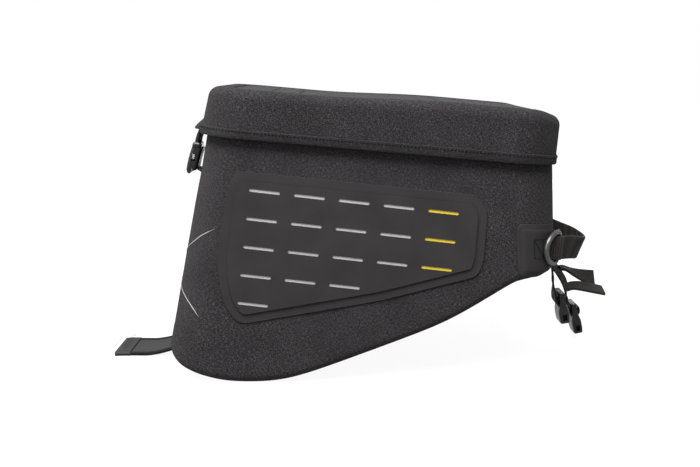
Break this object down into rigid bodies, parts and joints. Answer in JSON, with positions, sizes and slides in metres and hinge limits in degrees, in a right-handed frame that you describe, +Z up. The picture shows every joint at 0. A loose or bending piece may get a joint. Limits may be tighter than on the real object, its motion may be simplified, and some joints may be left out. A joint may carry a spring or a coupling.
{
  "type": "motorcycle tank bag",
  "caption": "Hard-shell fabric tank bag with a saddle-shaped underside, slotted side panels, a hinged buckled lid, a carry handle, and front and rear mounting straps.",
  "frame": {"origin": "centre of the flat tank seat on the underside pad", "axes": "+X to the front (the steering head), +Y to the rider's left, +Z up, with the bag standing as it does on a table"},
  "size_m": [0.4923, 0.2284, 0.2623],
  "materials": {
    "woven_fabric": "dense plain-woven coated nylon over moulded foam, charcoal",
    "woven_trim": "narrow woven binding, charcoal",
    "panel_rubber": "smooth matt rubbery laminate",
    "foam": "closed-cell foam gasket",
    "stiffener": "flat plastic board",
    "webbing": "ribbed polyester webbing",
    "moulded_plastic": "moulded acetal, satin gloss",
    "reflective_silver": "glass-bead reflective film",
    "reflective_yellow": "yellow film"
  },
  "bodies": {
    "body": {"body_shell": "woven_fabric", "mouth_rim": "stiffener", "floor_board": "stiffener", "tank_pad": "panel_rubber", "side_panel_right": "panel_rubber", "side_panel_left": "panel_rubber", "silver_sheet_right": "reflective_silver", "silver_sheet_left": "reflective_silver", "yellow_sheet_right": "reflective_yellow", "yellow_sheet_left": "reflective_yellow", "corner_patch_right": "panel_rubber", "corner_patch_left": "panel_rubber", "handle_anchor_right": "webbing", "handle_anchor_left": "webbing", "front_strap_anchor_right": "webbing", "front_strap_anchor_left": "webbing", "rear_strap_anchor": "webbing", "hinge_strip": "woven_trim", "closure_buckle_socket": "moulded_plastic", "closure_strap_lower": "webbing"},
    "lid": {"lid_shell": "woven_fabric", "lid_board": "stiffener", "lid_top_panel": "panel_rubber", "lid_hem": "woven_trim", "lid_seal": "foam", "lid_pull_tab": "webbing", "closure_strap_upper": "webbing", "closure_buckle_plug": "moulded_plastic"},
    "buckle_arm_right": {"buckle_arm_right": "moulded_plastic"},
    "buckle_arm_left": {"buckle_arm_left": "moulded_plastic"},
    "d_ring_right": {"d_ring_right": "moulded_plastic"},
    "d_ring_left": {"d_ring_left": "moulded_plastic"},
    "handle": {"carry_handle": "webbing"},
    "front_strap_right": {"front_strap_right": "webbing", "front_strap_tail_right": "webbing"},
    "front_strap_left": {"front_strap_left": "webbing", "front_strap_tail_left": "webbing"},
    "front_buckle_right": {"front_buckle_right": "moulded_plastic"},
    "front_buckle_left": {"front_buckle_left": "moulded_plastic"},
    "rear_strap": {"rear_strap": "webbing", "rear_strap_end": "webbing"}
  },
  "joints": [
    {"name": "lid_hinge", "type": "hinge", "parent": "body", "child": "lid", "pos_m": [0.17386, 0, 0.16063], "axis": [0, 1, 0], "range_deg": [0, 110]},
    {"name": "buckle_arm_right_press", "type": "slide", "parent": "lid", "child": "buckle_arm_right", "axis": [0, 1, 0], "range_m": [0, 0.0015], "stiffness_N_per_m": 400},
    {"name": "buckle_arm_left_press", "type": "slide", "parent": "lid", "child": "buckle_arm_left", "axis": [0, -1, 0], "range_m": [0, 0.0015], "stiffness_N_per_m": 400},
    {"name": "d_ring_right_swing", "type": "hinge", "parent": "body", "child": "d_ring_right", "pos_m": [0.17252, -0.0905, 0.08446], "axis": [0.0872, 0, 0.9962], "range_deg": [0, 100]},
    {"name": "d_ring_left_swing", "type": "hinge", "parent": "body", "child": "d_ring_left", "pos_m": [0.17252, 0.0905, 0.08446], "axis": [-0.0872, 0, -0.9962], "range_deg": [0, 100]},
    {"name": "handle_swing", "type": "hinge", "parent": "body", "child": "handle", "pos_m": [0.17252, 0, 0.08446], "axis": [0, -1, 0], "range_deg": [-15, 15]},
    {"name": "front_strap_right_swing", "type": "hinge", "parent": "body", "child": "front_strap_right", "pos_m": [0.17866, -0.045, 0.06515], "axis": [0, -1, 0], "range_deg": [-12, 20]},
    {"name": "front_buckle_right_swing", "type": "hinge", "parent": "front_strap_right", "child": "front_buckle_right", "pos_m": [0.18674, -0.045, 0.03704], "axis": [0, -1, 0], "range_deg": [-20, 20]},
    {"name": "front_strap_left_swing", "type": "hinge", "parent": "body", "child": "front_strap_left", "pos_m": [0.17866, 0.045, 0.06515], "axis": [0, -1, 0], "range_deg": [-30, 15]},
    {"name": "front_buckle_left_swing", "type": "hinge", "parent": "front_strap_left", "child": "front_buckle_left", "pos_m": [0.21953, 0.045, 0.00455], "axis": [0, -1, 0], "range_deg": [-20, 20]},
    {"name": "rear_strap_swing", "type": "hinge", "parent": "body", "child": "rear_strap", "pos_m": [-0.18842, 0, -0.0253], "axis": [0, 1, 0], "range_deg": [-60, 30]}
  ]
}
